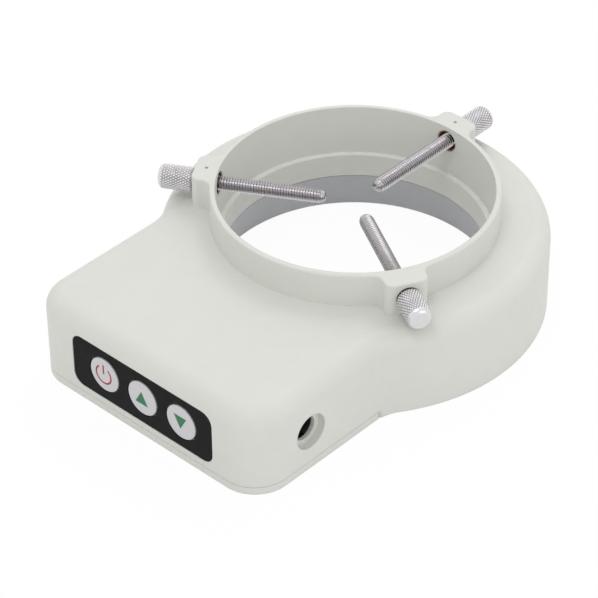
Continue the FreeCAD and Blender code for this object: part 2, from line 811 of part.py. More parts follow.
def make_insert(number):
    body = part_body("insert_" + BOSSES[number])
    profile = sketch_on(body, body.Label + "_profile", "YZ_Plane")
    start = "collar_bore_radius + insert_setback"
    end = "boss_face_radius - insert_setback"
    bore = "stud_radius + thread_clearance"
    mouth = bore + " + insert_mouth"
    floor = start + " + insert_mouth_depth"
    outline(profile, [(start, mouth), (start, "insert_radius"), (end, "insert_radius"), (end, bore),
                      (floor, bore), (floor, mouth)])
    turn(body, profile, axis="H_Axis")
    swing_to_boss(body, number)
    return body


def make_stud(number):
    body = part_body("stud_" + BOSSES[number])
    profile = sketch_on(body, body.Label + "_profile", "YZ_Plane")
    end = "(head_start + head_socket_depth - head_gap)"
    tip = "collar_bore_radius * stud_tip_share"
    outline(profile, [(tip, "0"), (tip, "stud_radius"), (end, "stud_radius"), (end, "0")])
    turn(body, profile, axis="H_Axis")
    fillet(body, "stud_tip_round", in_plane("y", tip))
    swing_to_boss(body, number)
    return body


def make_screw_head(number):
    body = part_body("screw_head_" + BOSSES[number])
    profile = sketch_on(body, body.Label + "_profile", "YZ_Plane")
    end = "(head_start + head_length)"
    floor = "(head_start + head_socket_depth)"
    bore = "stud_radius + thread_clearance"
    outline(profile, [("head_start", bore), ("head_start", "head_radius"), (end, "head_radius"),
                      (end, "0"), (floor, "0"), (floor, bore)])
    turn(body, profile, axis="H_Axis")
    fillet(body, "head_end_round", in_plane("y", end))
    outer = value("head_radius")
    start = in_plane("y", "head_start")
    chamfer(body, "head_edge_chamfer", lambda edge: start(edge) and edge.BoundBox.XMax > outer - NEAR)
    swing_to_boss(body, number)
    return body


# Front panel: overlay, button caps, plungers, switches and key board

def make_overlay():
    body = part_body("panel_overlay")
    face = "box_front - panel_recess"
    plan = sketch_on(body, "overlay_plan", "XZ_Plane", face)
    left = PANEL_SIDES[0] + " + overlay_fit"
    right = PANEL_SIDES[1] + " - overlay_fit"
    low = "(panel_bottom + overlay_fit)"
    high = "(panel_top - overlay_fit)"
    rectangle(plan, left, low, right, high)
    pad(body, plan, "overlay_thickness")
    fillet(body, "panel_corner_radius - overlay_fit",
           along_y_at([(side, up) for side in (left, right) for up in (low, high)]))
    holes = sketch_on(body, "overlay_hole_plan", "XZ_Plane", face)
    for number in range(len(BUTTONS)):
        circle(holes, button_side(number), "button_height", "button_radius + button_gap")
    pocket(body, holes, "panel_recess", along_normal=True)
    return body


def make_button(number):
    body = part_body("button_" + BUTTONS[number])
    flange = sketch_on(body, body.Label + "_flange_plan", "XZ_Plane", "flange_back")
    circle(flange, button_side(number), "button_height", "button_flange_radius")
    pad(body, flange, "button_flange")
    cap = sketch_on(body, body.Label + "_cap_plan", "XZ_Plane", "flange_front")
    circle(cap, button_side(number), "button_height", "button_radius")
    pad(body, cap, "box_front + button_proud - flange_front")
    fillet(body, "button_edge_round", in_plane("y", "-(box_front + button_proud)"))
    return body


def make_plunger(number):
    start = [button_side(number), "-(switch_front - plunger_engaged)", "button_height"]
    length = "flange_back - switch_front + plunger_engaged"
    return rod("plunger_" + BUTTONS[number], start, "plunger_radius", length, (0, -1, 0))


def make_switch(number):
    half = " - switch_width / 2"
    name = "switch_" + BUTTONS[number]
    case = block(name + "_case", [button_side(number) + half, "-switch_front", "button_height" + half],
                 ["switch_width", "switch_depth", "switch_width"])
    start = [button_side(number), "-(switch_front - plunger_bore_depth)", "button_height"]
    bore = rod(name + "_bore", start, "plunger_radius + plunger_bore_gap",
               "plunger_bore_depth + overrun", (0, -1, 0))
    return cut(name, case, bore)


def cut(name, base, tool):
    item = doc.addObject("Part::Cut", name)
    item.Base = base
    item.Tool = tool
    return item


def join(name, items):
    item = doc.addObject("Part::MultiFuse", name)
    item.Shapes = items
    return item


def gather(name, items):
    """Separate solids in one node."""
    item = doc.addObject("Part::Compound", name)
    item.Links = items
    return item


def make_key_board():
    body = part_body("key_board")
    plan = sketch_on(body, "key_board_plan", "XZ_Plane", "key_board_back")
    reach = "(key_rib_side + key_rib_width)"
    rectangle(plan, "button_offset - " + reach, "key_board_bottom", "button_offset + " + reach,
              "key_board_bottom + key_board_height")
    pad(body, plan, "board_thickness")
    return body


# Control board, its components and the power jack

def make_control_board():
    body = part_body("control_board")
    plan = sketch_on(body, "control_board_plan", offset="board_top - board_thickness")
    rectangle(plan, "-control_board_left", "-control_board_front", "jack_face - control_board_gap",
              "-control_board_rear")
    for across, along in BOARD_POSTS:
        circle(plan, across, along, "screw_hole_radius")
    pad(body, plan, "board_thickness")
    return body


def make_jack():
    half = "jack_width / 2"
    corner = ["jack_end", "-inlet_place - " + half, "board_top"]
    case = block("jack_case", corner, ["jack_length", "jack_width", "jack_axis_height + jack_crown"])
    bore = rod("jack_bore", ["jack_face - jack_bore_depth", "-inlet_place", "inlet_height"],
               "jack_bore_radius", "jack_bore_depth + overrun", (1, 0, 0))
    pin_hole = rod("jack_pin_hole", ["jack_end - overrun", "-inlet_place", "inlet_height"],
                   "jack_pin_radius + jack_pin_clearance", "jack_length", (1, 0, 0))
    slot = block("jack_slot",
                 ["jack_face - jack_slot_length", "-inlet_place - jack_slot_width / 2",
                  "inlet_height - jack_bore_radius - jack_slot_depth"],
                 ["jack_slot_length + overrun", "jack_slot_width", "jack_bore_radius"])
    return cut("power_jack", case, join("jack_hollow", [bore, pin_hole, slot]))


def make_jack_pin():
    return rod("jack_pin", ["jack_end", "-inlet_place", "inlet_height"],
               "jack_pin_radius", "jack_length - jack_pin_setback", (1, 0, 0))


def make_jack_contact():
    margin = "jack_contact_margin"
    return block("jack_contact",
                 ["jack_face - jack_slot_length + " + margin,
                  "-inlet_place - jack_slot_width / 2 + " + margin,
                  "inlet_height - jack_bore_radius - jack_slot_depth"],
                 ["jack_slot_length - 2 * " + margin, "jack_slot_width - 2 * " + margin,
                  "jack_contact_thickness"])


def make_header():
    return block("header_block", ["-header_half", "-header_front", "board_top"],
                 ["2 * header_half", "header_block", "header_block"])


def make_header_pins():
    pins = []
    for number in range(int(value("header_pins"))):
        side = "header_spacing * (%d + 1 / 2) - header_half - header_pin_width / 2" % number
        up = "board_top + header_block / 2 - header_pin_width / 2"
        pins.append(block("header_pin_%d" % number, [side, "-key_board_back", up],
                          ["header_pin_width", "key_board_back - header_front", "header_pin_width"]))
    return gather("header_pins", pins)


def make_chip():
    return block("driver_chip",
                 ["-chip_side - chip_width / 2", "-row_place - chip_length / 2", "board_top"],
                 ["chip_width", "chip_length", "chip_height"])


def stand_on_board(body, side):
    bind(body, "Placement.Base.x", side)
    bind(body, "Placement.Base.y", "-row_place")
    bind(body, "Placement.Base.z", "board_top")
    return body


def make_inductor():
    body = part_body("inductor")
    profile = sketch_on(body, "inductor_profile", "XZ_Plane")
    rim = "inductor_flange"
    outline(profile, [("0", "0"), ("inductor_radius", "0"), ("inductor_radius", rim),
                      ("inductor_waist", rim), ("inductor_waist", "inductor_height - " + rim),
                      ("inductor_radius", "inductor_height - " + rim),
                      ("inductor_radius", "inductor_height"), ("0", "inductor_height")])
    turn(body, profile)
    return stand_on_board(body, "inductor_side")


def make_capacitor():
    body = part_body("capacitor")
    plan = sketch_on(body, "capacitor_plan")
    circle(plan, "0", "0", "capacitor_radius")
    pad(body, plan, "capacitor_height")
    fillet(body, "capacitor_edge", level_at("capacitor_height"))
    return stand_on_board(body, "-capacitor_side")


def make_lead_plug():
    return block("lead_plug",
                 ["-lead_side - lead_plug_width / 2", "-row_place - lead_plug_length / 2", "board_top"],
                 ["lead_plug_width", "lead_plug_length", "lead_plug_height"])


def lead(side):
    """One lamp lead: up from its plug, across through the slot and down on to the lamp board."""
    across = value("-lead_side + lead_spread * %d" % side)
    start = value("-row_place")
    end = value("-lamp_circle")
    low = value("board_top + lead_plug_height")
    high = value("lead_run_height")
    landing = value("web_bottom")
    bend = value("lead_bend")
    slant = bend * 0.5 ** 0.5

    def point(along, up):
        return FreeCAD.Vector(across, along, up)
    first_bend = Part.Arc(point(start, high - bend), point(start + bend - slant, high - bend + slant),
                          point(start + bend, high))
    second_bend = Part.Arc(point(end - bend, high), point(end - bend + slant, high - bend + slant),
                           point(end, high - bend))
    edges = [Part.LineSegment(point(start, low), point(start, high - bend)).toShape(),
             first_bend.toShape(),
             Part.LineSegment(point(start + bend, high), point(end - bend, high)).toShape(),
             second_bend.toShape(),
             Part.LineSegment(point(end, high - bend), point(end, landing)).toShape()]
    section = Part.Circle(point(start, low), FreeCAD.Vector(0, 0, 1), value("lead_radius"))
    return Part.Wire(edges).makePipeShell([Part.Wire([section.toShape()])], True, False)


def make_leads():
    item = doc.addObject("Part::Feature", "lamp_leads")
    item.Shape = Part.makeCompound([lead(side) for side in (-1, 1)])
    return item


# Building every piece

def build_all():
    carrier_screw_places = [at_angle("lamp_circle", boss_angle(number))
                            for number in range(int(value("boss_count")))]
    pieces = [
        make_housing(), make_base_cover(), make_lamp_carrier(), make_lamp_board(), make_lamps(),
        make_lamp_spacer(), make_ring_lens(), make_overlay(), make_key_board(),
        make_control_board(), make_jack(), make_jack_pin(), make_jack_contact(), make_header(),
        make_header_pins(), make_chip(), make_inductor(), make_capacitor(), make_lead_plug(),
        make_leads(),
        screw_group("cover_screws", COVER_POSTS, "screw_recess_depth"),
        screw_group("board_screws", BOARD_POSTS, "(board_top - board_thickness)"),
        screw_group("carrier_screws", carrier_screw_places, "lamp_top"),
    ]
    for number in range(len(BOSSES)):
        pieces += [make_insert(number), make_stud(number), make_screw_head(number)]
    for number in range(len(BUTTONS)):
        pieces += [make_button(number), make_plunger(number), make_switch(number)]
    doc.recompute()
    return pieces


def check(pieces):
    for item in doc.Objects:
        if "Invalid" in item.State or "Error" in item.State:
            raise RuntimeError("%s failed: %s" % (item.Label, item.State))
    for piece in pieces:
        if piece.Shape.isNull() or not piece.Shape.isValid():
            raise RuntimeError(piece.Label + " has no valid shape")


def write(pieces):
    os.makedirs("parts", exist_ok=True)
    for piece in pieces:
        piece.Shape.exportStep("parts/%s.step" % piece.Label)
        print("%-18s %3d solids %10.2f mm3" % (piece.Label, len(piece.Shape.Solids), piece.Shape.Volume))


nodes = build_all()
check(nodes)
write(nodes)
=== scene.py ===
import json
import math

import bmesh
import bpy
import numpy as np
from mathutils import Matrix, Vector


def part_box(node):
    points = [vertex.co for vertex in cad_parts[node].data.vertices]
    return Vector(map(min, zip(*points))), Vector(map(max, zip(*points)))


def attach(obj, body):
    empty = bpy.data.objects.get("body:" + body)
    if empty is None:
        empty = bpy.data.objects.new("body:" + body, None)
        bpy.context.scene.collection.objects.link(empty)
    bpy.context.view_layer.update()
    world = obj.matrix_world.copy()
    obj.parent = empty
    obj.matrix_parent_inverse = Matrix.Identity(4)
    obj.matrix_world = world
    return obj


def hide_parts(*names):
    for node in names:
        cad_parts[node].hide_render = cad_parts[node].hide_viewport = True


# A ring-light illuminator on a plain white ground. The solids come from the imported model. This
# script gives them their finishes, and adds threads, knurls, button caps and the lamps' insides.
# Lengths are in metres, so sizes are written in millimetres times MM.

MM = 0.001

# The Mix node's sockets for colours have no names of their own.
MIX_UNDER, MIX_OVER, MIX_RESULT = 6, 7, 2

# Bands of a noise's value: where a spot begins, and where it is full.
WIDE_SPOTS, LESSER_SPOTS, WORN_SPOTS, GLOSS_SPOTS = (0.35, 0.65), (0.45, 0.7), (0.35, 0.6), (0.3, 0.7)

# The screws stand round the collar: turns from the rear one, and the height of their line.
BOSS_ANGLES = {"rear": 0.0, "left": math.radians(120), "front": math.radians(240)}
SCREW_HEIGHT = 28.5 * MM

# What the attribute "depth" says on top of the knurl. It says 1 at the foot of its grooves.
KNURL_LAND = 0.1

# Points in a circle of a cap, and the turn between faces that still looks smooth.
CAP_POINTS = 96
CAP_CREASE = math.radians(40)

# Lamps: name, place, width and power. All of them point at one place on the object.
LAMP_TARGET = (0, -0.02, 0.02)
LAMPS = (("overhead", (0.05, -0.35, 0.9), 0.32, 1.05),
         ("beyond", (-0.12, 0.5, 0.75), 0.3, 0.6),
         ("behind", (-0.45, 0.5, 0.65), 0.8, 0.8),
         ("beside", (0.75, -0.05, 0.3), 0.4, 0.42))

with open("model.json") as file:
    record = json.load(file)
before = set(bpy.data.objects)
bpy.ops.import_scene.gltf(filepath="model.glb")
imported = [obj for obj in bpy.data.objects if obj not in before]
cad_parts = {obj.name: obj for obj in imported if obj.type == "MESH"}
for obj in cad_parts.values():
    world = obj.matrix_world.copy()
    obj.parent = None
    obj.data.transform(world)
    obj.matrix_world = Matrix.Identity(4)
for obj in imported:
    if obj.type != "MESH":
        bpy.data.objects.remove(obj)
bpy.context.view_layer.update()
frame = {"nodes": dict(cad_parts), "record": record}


# Shader building

class Finish:
    """A Principled material whose detail is placed by the part's own coordinates."""

    def __init__(self, name, colour, roughness, metallic=0.0):
        self.material = bpy.data.materials.new(name)
        self.material.use_nodes = True
        self.tree = self.material.node_tree
        self.tree.nodes.clear()
        output = self.add("OutputMaterial")
        self.surface = self.add("BsdfPrincipled")
        self.join(self.surface.outputs["BSDF"], output.inputs["Surface"])
        self.place = self.add("TexCoord").outputs["Object"]
        self.colour = self.plain(colour)
        self.set("Roughness", roughness)
        self.set("Metallic", metallic)
        self.normal = None

    def add(self, kind, **values):
        node = self.tree.nodes.new("ShaderNode" + kind)
        for name, value in values.items():
            setattr(node, name, value)
        return node

    def join(self, source, socket):
        """Links a socket to a socket, or writes a plain value into it."""
        if isinstance(source, bpy.types.NodeSocket):
            self.tree.links.new(source, socket)
        else:
            socket.default_value = source

    def set(self, socket, value):
        self.join(value, self.surface.inputs[socket])
        return self

    @staticmethod
    def plain(colour):
        """A colour with full alpha."""
        return (*colour, 1.0)

    def noise(self, size, detail=3.0, stretch=(1.0, 1.0, 1.0), kind="TexNoise"):
        """Noise from 0 to 1 whose spots are about one size across."""
        scaled = self.add("VectorMath", operation="MULTIPLY")
        self.join(self.place, scaled.inputs[0])
        scaled.inputs[1].default_value = [share / size for share in stretch]
        texture = self.add(kind)
        texture.inputs["Scale"].default_value = 1.0
        if kind == "TexNoise":
            texture.inputs["Detail"].default_value = detail
        self.join(scaled.outputs["Vector"], texture.inputs["Vector"])
        return texture.outputs["Fac" if kind == "TexNoise" else "Distance"]

    def range(self, value, low, high, start=0.0, end=1.0, smooth=True):
        """Turns low to high into start to end."""
        node = self.add("MapRange", interpolation_type="SMOOTHSTEP" if smooth else "LINEAR")
        for socket, number in (("From Min", low), ("From Max", high), ("To Min", start), ("To Max", end)):
            node.inputs[socket].default_value = number
        self.join(value, node.inputs["Value"])
        return node.outputs["Result"]

    def math(self, operation, one, other=0.0):
        node = self.add("Math", operation=operation)
        self.join(one, node.inputs[0])
        self.join(other, node.inputs[1])
        return node.outputs["Value"]

    def attribute(self, name):
        return self.add("Attribute", attribute_name=name).outputs["Fac"]

    def tint(self, factor, colour):
        """Mixes another colour over what is there."""
        node = self.add("Mix", data_type="RGBA")
        self.join(factor, node.inputs["Factor"])
        self.join(self.colour, node.inputs[MIX_UNDER])
        node.inputs[MIX_OVER].default_value = self.plain(colour)
        self.colour = node.outputs[MIX_RESULT]
        return self

    def mottle(self, size, low, high, share=0.5):
        """Slow changes of colour between two tones."""
        finer = 0.31 * size
        self.tint(self.range(self.noise(size, detail=2.0), *WIDE_SPOTS, 0.0, share), low)
        self.tint(self.range(self.noise(finer, detail=2.0), *LESSER_SPOTS, 0.0, share), high)
        return self

    def rub(self, size, low, high, stretch=(1.0, 1.0, 1.0)):
        """Roughness that varies from place to place."""
        spots = self.noise(size, stretch=stretch)
        return self.set("Roughness", self.range(spots, *GLOSS_SPOTS, low, high))

    def edges(self, radius, colour, share):
        """Rounds sharp edges in the shading and shows wear on them, in patches."""
        flat, sharp = 0.99, 0.8
        patch = 1.6 * MM
        bevel = self.add("Bevel", samples=6)
        bevel.inputs["Radius"].default_value = radius
        geometry = self.add("NewGeometry")
        across = self.add("VectorMath", operation="DOT_PRODUCT")
        self.join(bevel.outputs["Normal"], across.inputs[0])
        self.join(geometry.outputs["Normal"], across.inputs[1])
        turned = self.range(across.outputs["Value"], flat, sharp, 0.0, share)
        broken = self.math("MULTIPLY", turned, self.range(self.noise(patch), *WORN_SPOTS))
        self.tint(broken, colour)
        self.normal = bevel.outputs["Normal"]
        return self

    def relief(self, height, depth, strength=1.0):
        """Raises the surface in the shading by a height from 0 to 1, times the depth."""
        node = self.add("Bump")
        node.inputs["Strength"].default_value = strength
        node.inputs["Distance"].default_value = depth
        self.join(height, node.inputs["Height"])
        if self.normal:
            self.join(self.normal, node.inputs["Normal"])
        self.normal = node.outputs["Normal"]
        return self

    def done(self):
        self.set("Base Color", self.colour)
        if self.normal:
            self.set("Normal", self.normal)
        return self.material


# Finishes, by the record's slots

def moulded(name, colour, roughness, grain=0.22, depth=0.010, wear=None):
    """Textured moulded plastic: fine spark grain, slight mottling and rubbed edges."""
    finish = Finish(name, colour, roughness)
    darker = [0.955 * part for part in colour]
    lighter = [min(1.0, 1.035 * part) for part in colour]
    specks = finish.range(finish.noise(0.55 * MM, detail=1.0), 0.66, 0.74, 0.0, 0.35)
    finish.mottle(9 * MM, darker, lighter, share=0.25)
    finish.edges(0.3 * MM, wear or lighter, 0.6)
    finish.tint(specks, darker)
    finish.rub(3 * MM, roughness - 0.05, roughness + 0.07)
    finish.relief(finish.noise(grain * MM, detail=2.0), depth * MM)
    return finish


def body_plastic():
    """Pale grey plastic, with a painted highlight: a paler band on the bore's ledge, for the light that
    falls on its upward face.
    """
    ledge_radius, ledge_height = 35.0 * MM, 18.65 * MM
    half_blur, band, band_end = 0.1 * MM, 0.06 * MM, 0.16 * MM
    finish = moulded("body_plastic", (0.72, 0.725, 0.68), 0.5).set("Specular IOR Level", 0.35)
    split = finish.add("SeparateXYZ")
    finish.join(finish.place, split.inputs[0])
    squares = [finish.math("MULTIPLY", split.outputs[axis], split.outputs[axis]) for axis in "XY"]
    across = finish.math("SQRT", finish.math("ADD", *squares))
    inside = finish.range(across, ledge_radius - half_blur, ledge_radius + half_blur, 1.0, 0.0)
    rise = finish.math("ABSOLUTE", finish.math("SUBTRACT", split.outputs["Z"], ledge_height))
    # Painted highlight: the ledge's band is tinted paler, in patches, for the light falling on its upward
    # face.
    painted_ledge_highlight = finish.math("MULTIPLY", inside, finish.range(rise, band, band_end, 1.0, 0.0))
    patchy = finish.range(finish.noise(3 * MM), 0.25, 0.6, 0.6, 1.0)
    return finish.tint(finish.math("MULTIPLY", painted_ledge_highlight, patchy), (0.85, 0.855, 0.815)).done()


def carrier_plastic():
    return moulded("carrier_plastic", (0.53, 0.535, 0.56), 0.6).done()


def spacer_plastic():
    return moulded("spacer_plastic", (0.78, 0.78, 0.75), 0.5).done()


def black_plastic():
    return moulded("black_plastic", (0.022, 0.022, 0.023), 0.45, wear=(0.07, 0.07, 0.07)).done()


def plunger_plastic():
    return moulded("plunger_plastic", (0.05, 0.05, 0.052), 0.42, wear=(0.12, 0.12, 0.12)).done()


def connector_plastic():
    return moulded("connector_plastic", (0.7, 0.66, 0.56), 0.42).set("Subsurface Weight", 0.1).done()


def lens_clear():
    finish = Finish("lens_clear", (0.93, 0.95, 0.95), 0.12)
    finish.set("Transmission Weight", 1.0).set("IOR", 1.49)
    finish.rub(4 * MM, 0.08, 0.2)
    hazy = finish.range(finish.noise(2.2 * MM, detail=5.0), 0.55, 0.7, 0.0, 0.25)
    finish.tint(hazy, (0.8, 0.82, 0.82))
    return finish.relief(finish.noise(0.5 * MM), 0.006 * MM).done()


def lamp_epoxy():
    finish = Finish("lamp_epoxy", (0.93, 0.95, 0.96), 0.06)
    finish.set("Transmission Weight", 1.0).set("IOR", 1.52)
    finish.rub(1.5 * MM, 0.04, 0.12)
    hazy = finish.range(finish.noise(0.8 * MM, detail=4.0), 0.55, 0.75, 0.0, 0.2)
    finish.tint(hazy, (0.86, 0.87, 0.82))
    return finish.done()


def lamp_phosphor():
    finish = Finish("lamp_phosphor", (0.85, 0.62, 0.13), 0.6)
    finish.mottle(0.3 * MM, (0.74, 0.5, 0.08), (0.93, 0.74, 0.25))
    return finish.relief(finish.noise(0.12 * MM), 0.01 * MM).done()


def board_laminate():
    finish = Finish("board_laminate", (0.018, 0.13, 0.055), 0.32)
    tracks = finish.noise(3.2 * MM, kind="TexVoronoi", stretch=(1.0, 0.35, 1.0))
    track, gap = 0.28, 0.3
    finish.tint(finish.range(tracks, track, gap, 0.8, 0.0), (0.05, 0.24, 0.09))
    finish.edges(0.2 * MM, (0.5, 0.42, 0.22), 0.8)
    finish.mottle(5 * MM, (0.014, 0.1, 0.045), (0.022, 0.15, 0.065))
    finish.rub(2 * MM, 0.25, 0.4)
    return finish.relief(finish.range(tracks, track, gap, 1.0, 0.0), 0.02 * MM).done()


def lead_insulation():
    finish = Finish("lead_insulation", (0.36, 0.02, 0.016), 0.42)
    finish.mottle(2 * MM, (0.28, 0.014, 0.012), (0.45, 0.035, 0.03))
    finish.rub(1 * MM, 0.35, 0.55)
    return finish.relief(finish.noise(0.5 * MM), 0.02 * MM).done()


def overlay_black():
    finish = Finish("overlay_black", (0.0085, 0.008, 0.0085), 0.42)
    finish.mottle(7 * MM, (0.0065, 0.0065, 0.007), (0.0105, 0.01, 0.011))
    finish.set("Specular IOR Level", 0.05)
    finish.edges(0.18 * MM, (0.07, 0.07, 0.075), 0.9)
    dust = finish.range(finish.noise(0.35 * MM, detail=2.0), 0.7, 0.78, 0.0, 0.4)
    finish.tint(dust, (0.03, 0.03, 0.03))
    finish.rub(2.5 * MM, 0.3, 0.44)
    return finish.relief(finish.noise(0.3 * MM), 0.004 * MM).done()


def button_silver():
    finish = Finish("button_silver", (0.62, 0.615, 0.63), 0.4, metallic=0.08)
    finish.mottle(1.8 * MM, (0.595, 0.59, 0.605), (0.645, 0.64, 0.65))
    finish.rub(0.8 * MM, 0.28, 0.42)
    finish.set("Coat Weight", 0.25)
    return finish.relief(finish.noise(0.16 * MM), 0.003 * MM).done()


# Painted shade: a darker grey copy of the caps' silver, for the shade on their rims and side walls.
def button_rim():
    finish = Finish("button_rim", (0.3, 0.3, 0.31), 0.35, metallic=0.3)
    finish.mottle(1.2 * MM, (0.24, 0.24, 0.25), (0.37, 0.37, 0.38))
    finish.rub(0.6 * MM, 0.25, 0.4)
    return finish.relief(finish.noise(0.14 * MM), 0.003 * MM).done()


def print_ink(name, colour):
    finish = Finish(name, colour, 0.4)
    thin, thick = [0.88 * part for part in colour], [min(1.0, 1.15 * part) for part in colour]
    finish.mottle(0.9 * MM, thin, thick)
    finish.rub(0.5 * MM, 0.34, 0.5)
    return finish.relief(finish.noise(0.1 * MM), 0.004 * MM).done()


def chip_epoxy():
    finish = Finish("chip_epoxy", (0.022, 0.022, 0.024), 0.6)
    finish.mottle(0.6 * MM, (0.018, 0.018, 0.02), (0.034, 0.034, 0.036))
    finish.edges(0.15 * MM, (0.07, 0.07, 0.07), 0.6)
    return finish.relief(finish.noise(0.07 * MM), 0.01 * MM).done()


def ferrite():
    finish = Finish("ferrite", (0.035, 0.034, 0.036), 0.55)
    wire = finish.add("TexWave", wave_type="BANDS", bands_direction="Z")
    wire_width = 0.3 * MM
    wire.inputs["Scale"].default_value = 0.05 / wire_width
    finish.join(finish.place, wire.inputs["Vector"])
    finish.mottle(0.8 * MM, (0.025, 0.024, 0.026), (0.06, 0.058, 0.06))
    finish.edges(0.12 * MM, (0.12, 0.11, 0.11), 0.7)
    return finish.relief(wire.outputs["Fac"], 0.05 * MM, strength=0.4).done()


def capacitor_can():
    finish = Finish("capacitor_can", (0.62, 0.63, 0.65), 0.3, metallic=1.0)
    finish.mottle(1.5 * MM, (0.54, 0.55, 0.57), (0.7, 0.71, 0.72))
    finish.rub(1 * MM, 0.22, 0.4, stretch=(0.3, 0.3, 3.0))
    return finish.relief(finish.noise(0.3 * MM), 0.004 * MM).done()


def contact_metal():
    finish = Finish("contact_metal", (0.66, 0.64, 0.58), 0.24, metallic=1.0)
    finish.mottle(0.8 * MM, (0.5, 0.48, 0.42), (0.76, 0.75, 0.7))
    finish.rub(0.5 * MM, 0.18, 0.36)
    return finish.relief(finish.noise(0.2 * MM), 0.003 * MM).done()


def screw_steel():
    finish = Finish("screw_steel", (0.5, 0.5, 0.51), 0.32, metallic=1.0)
    finish.mottle(0.9 * MM, (0.38, 0.37, 0.36), (0.6, 0.6, 0.61))
    finish.edges(0.1 * MM, (0.72, 0.72, 0.72), 0.7)
    finish.rub(0.5 * MM, 0.26, 0.44)
    return finish.relief(finish.noise(0.25 * MM), 0.006 * MM).done()


def stud_steel():
    """Rolled steel, with painted shade: darker in the thread's roots."""
    finish = Finish("stud_steel", (0.6, 0.58, 0.595), 0.24, metallic=1.0)
    finish.mottle(1.4 * MM, (0.54, 0.52, 0.54), (0.68, 0.66, 0.675))
    # Painted shade: the thread's roots are tinted darker by their depth.
    painted_root_shade = finish.range(finish.attribute("depth"), 0.3, 1.0, 0.0, 0.5)
    finish.tint(painted_root_shade, (0.25, 0.235, 0.25))
    finish.rub(0.7 * MM, 0.18, 0.3)
    return finish.relief(finish.noise(0.12 * MM), 0.004 * MM).done()


def head_nickel():
    """Bright nickel plating, with painted shade: darker in the knurl's grooves."""
    finish = Finish("head_nickel", (0.72, 0.71, 0.72), 0.28, metallic=1.0)
    finish.mottle(1.6 * MM, (0.69, 0.68, 0.69), (0.75, 0.74, 0.75))
    # Painted shade: the knurl's grooves are tinted darker by their depth.
    painted_groove_shade = finish.range(finish.attribute("depth"), KNURL_LAND, 1.0, 0.0, 0.7, smooth=False)
    finish.tint(painted_groove_shade, (0.22, 0.205, 0.22))
    finish.rub(1.2 * MM, 0.26, 0.34)
    return finish.relief(finish.noise(0.8 * MM), 0.0006 * MM).done()


def insert_brass():
    """Brass gone brown where it shows in the bore."""
    finish = Finish("insert_brass", (0.5, 0.34, 0.13), 0.4, metallic=1.0)
    tarnish = finish.range(finish.noise(0.7 * MM, detail=5.0), 0.3, 0.6, 0.2, 0.85)
    finish.tint(tarnish, (0.2, 0.1, 0.035))
    finish.rub(0.5 * MM, 0.35, 0.7)
    return finish.relief(finish.noise(0.15 * MM), 0.02 * MM).done()


FINISHES = {make.__name__: make() for make in (
    body_plastic, carrier_plastic, spacer_plastic, black_plastic, plunger_plastic, connector_plastic,
    lens_clear, lamp_epoxy, lamp_phosphor, board_laminate, lead_insulation, overlay_black,
    button_silver, button_rim, chip_epoxy, ferrite, capacitor_can, contact_metal, screw_steel,
    stud_steel, head_nickel, insert_brass)}


def dress_nodes():
    """Every solid gets the finish of its slot in the record."""
    for part in frame["record"]["subparts"]:
        node = frame["nodes"][part["node"]]
        node.data.materials.clear()
        node.data.materials.append(FINISHES[part["material_slot"]])


# Mesh building

def piece_from(name, vertices, faces, body, materials, smooth=True, choice=None, depth=None):
    """A new piece that rides on a body and takes its finish from a slot."""
    mesh = bpy.data.meshes.new(name)
    mesh.from_pydata([tuple(vertex) for vertex in vertices], [], [tuple(face) for face in faces])
    mesh.update()
    if depth is not None:
        layer = mesh.attributes.new("depth", "FLOAT", "POINT")
        layer.data.foreach_set("value", np.asarray(depth, np.float32))
    for material in materials:
        mesh.materials.append(material)
    mesh.polygons.foreach_set("use_smooth", [smooth] * len(mesh.polygons))
    if choice is not None:
        mesh.polygons.foreach_set("material_index", choice)
    mesh.update()
    piece = bpy.data.objects.new(name, mesh)
    bpy.context.scene.collection.objects.link(piece)
    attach(piece, body)
    return piece


def grid_faces(rows, columns):
    """Quads between rows of points, each row closed round the axis."""
    faces = []
    for row in range(rows - 1):
        for column in range(columns):
            after = (column + 1) % columns
            faces.append((row * columns + column, row * columns + after,
                          (row + 1) * columns + after, (row + 1) * columns + column))
    return faces


def round_y(radius, along, angle, centre=(0.0, 0.0)):
    """A point at a radius and an angle round a line along Y, from +Z towards +X."""
    return centre[0] + radius * math.sin(angle), along, centre[1] + radius * math.cos(angle)


def swing(points, boss):
    """Points drawn round +Y, swung to a boss and lifted to the screws' height."""
    turned = Matrix.Rotation(BOSS_ANGLES[boss], 3, "Z")
    return [turned @ Vector(point) + Vector((0, 0, SCREW_HEIGHT)) for point in points]


